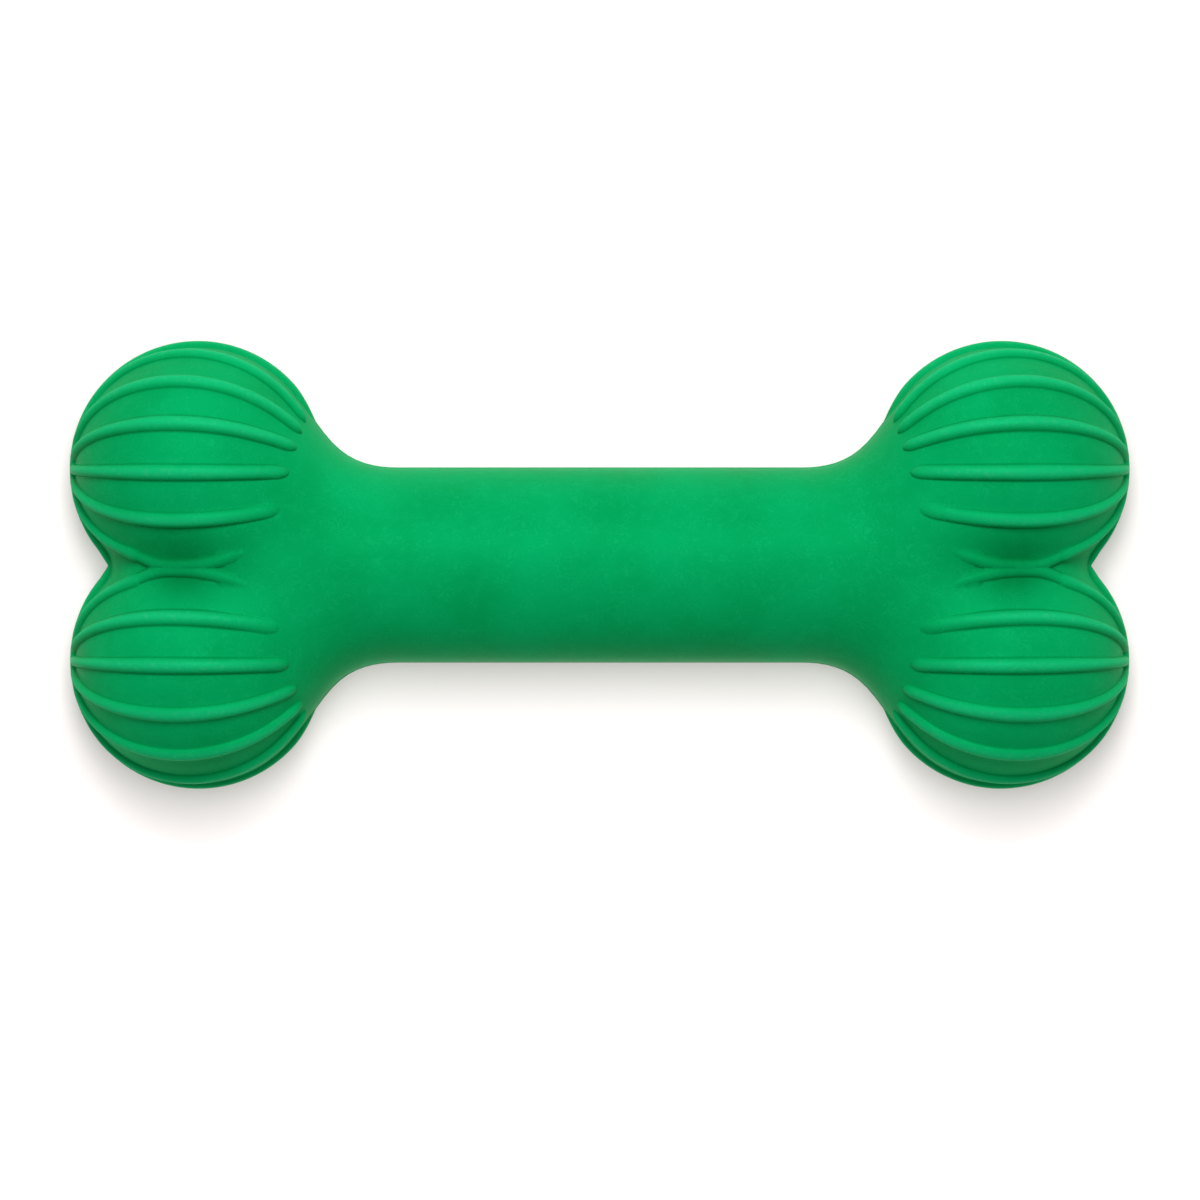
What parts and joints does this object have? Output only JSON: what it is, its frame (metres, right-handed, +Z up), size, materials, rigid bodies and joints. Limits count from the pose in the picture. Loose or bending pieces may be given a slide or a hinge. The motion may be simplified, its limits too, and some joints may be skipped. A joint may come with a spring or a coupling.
{
  "type": "bone-shaped dog toy",
  "caption": "Hollow rubber dog toy shaped like a bone, with ribbed ball ends, a round shaft to grip and a reed squeaker inside that sounds through a vent.",
  "frame": {"origin": "under the middle of the toy, on the surface that it lies on", "axes": "+X along the bone, +Y across it from lobe to lobe, +Z up, square to the plane where its halves meet"},
  "size_m": [0.1694, 0.0716, 0.0409],
  "materials": {
    "rubber": "matt moulded rubber with a milky sheen",
    "squeaker_plastic": "satin moulded",
    "reed_plastic": "smooth thin sheet"
  },
  "bodies": {
    "bone": {"upper_shell": "rubber", "lower_shell": "rubber", "squeaker_cup": "squeaker_plastic", "reed_plate": "squeaker_plastic", "squeaker_cap": "squeaker_plastic"},
    "reed": {"squeaker_reed": "reed_plastic"}
  },
  "joints": [
    {"name": "reed_flutter", "type": "hinge", "parent": "bone", "child": "reed", "pos_m": [-0.0035, 0, 0.01682], "axis": [0, -1, 0], "range_deg": [-2, 8], "stiffness_Nm_per_rad": 0.002}
  ]
}
